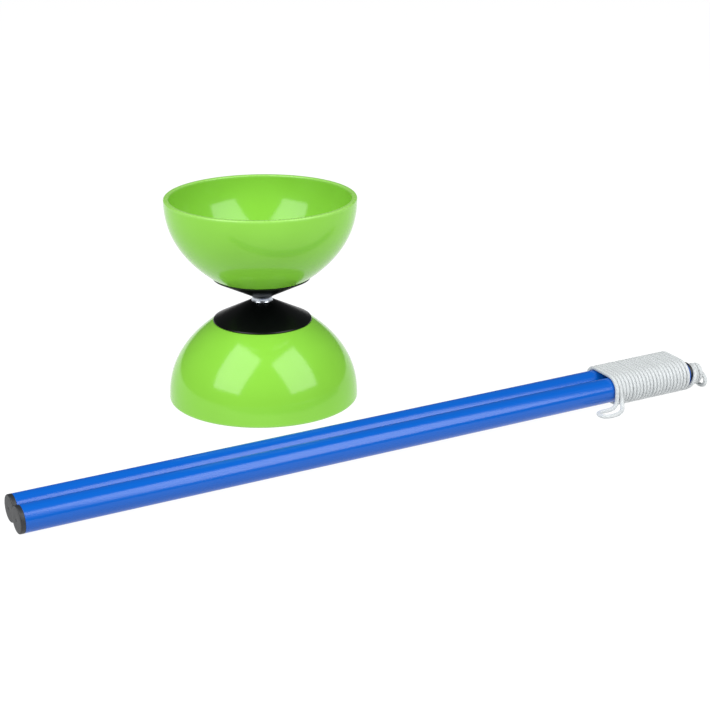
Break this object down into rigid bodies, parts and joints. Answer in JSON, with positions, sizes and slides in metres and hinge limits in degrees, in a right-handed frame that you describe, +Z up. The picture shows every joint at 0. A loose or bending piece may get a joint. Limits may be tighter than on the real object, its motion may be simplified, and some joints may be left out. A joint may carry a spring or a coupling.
{
  "type": "diabolo",
  "caption": "Cup-shaped spinning spool on a bolted axle, with a pair of tubular handsticks bound together by their own wound string.",
  "frame": {"origin": "on the floor, in the middle of the box round the spool and the handsticks, the string left out", "axes": "+X along the handsticks from the grip ends to the tips, +Y from the sticks to the spool, +Z up along the spool's axle"},
  "size_m": [0.3556, 0.1546, 0.1],
  "materials": {
    "cup_plastic": "glossy moulded lime green",
    "black_plastic": "satin moulded black",
    "zinc_steel": "bright zinc plate",
    "polished_steel": "turned and polished",
    "nylon": "natural nylon",
    "stick_tube": "glossy blue lacquer",
    "plug_plastic": "soft moulded black",
    "braid": "white braided cord"
  },
  "bodies": {
    "handsticks": {"stick_tube_front": "stick_tube", "stick_tube_rear": "stick_tube", "grip_plug_front": "plug_plastic", "grip_plug_rear": "plug_plastic", "tip_plug_front": "plug_plastic", "tip_plug_rear": "plug_plastic", "string_winding": "braid", "string_bight": "braid", "string_hitch": "braid", "string_lead_front": "braid", "string_tail_front": "braid", "string_lead_rear": "braid", "string_knot_front": "braid", "string_knot_rear": "braid"},
    "hub": {"axle_hub": "polished_steel"},
    "spool": {"cup_lower": "cup_plastic", "cup_upper": "cup_plastic", "cone_lower": "black_plastic", "cone_upper": "black_plastic", "clamp_plate_lower": "black_plastic", "clamp_plate_upper": "black_plastic", "washer_lower": "zinc_steel", "washer_upper": "zinc_steel", "lock_nut_lower": "zinc_steel", "lock_nut_upper": "zinc_steel", "nut_insert_lower": "nylon", "nut_insert_upper": "nylon", "axle_rod": "zinc_steel"}
  },
  "joints": [
    {"name": "spool_lift", "type": "slide", "parent": "handsticks", "child": "hub", "axis": [0, 0, 1], "range_m": [0, 0.15]},
    {"name": "spool_spin", "type": "hinge", "parent": "hub", "child": "spool", "pos_m": [-0.017, 0.0279, 0.05], "axis": [0, 0, 1], "continuous": true}
  ]
}
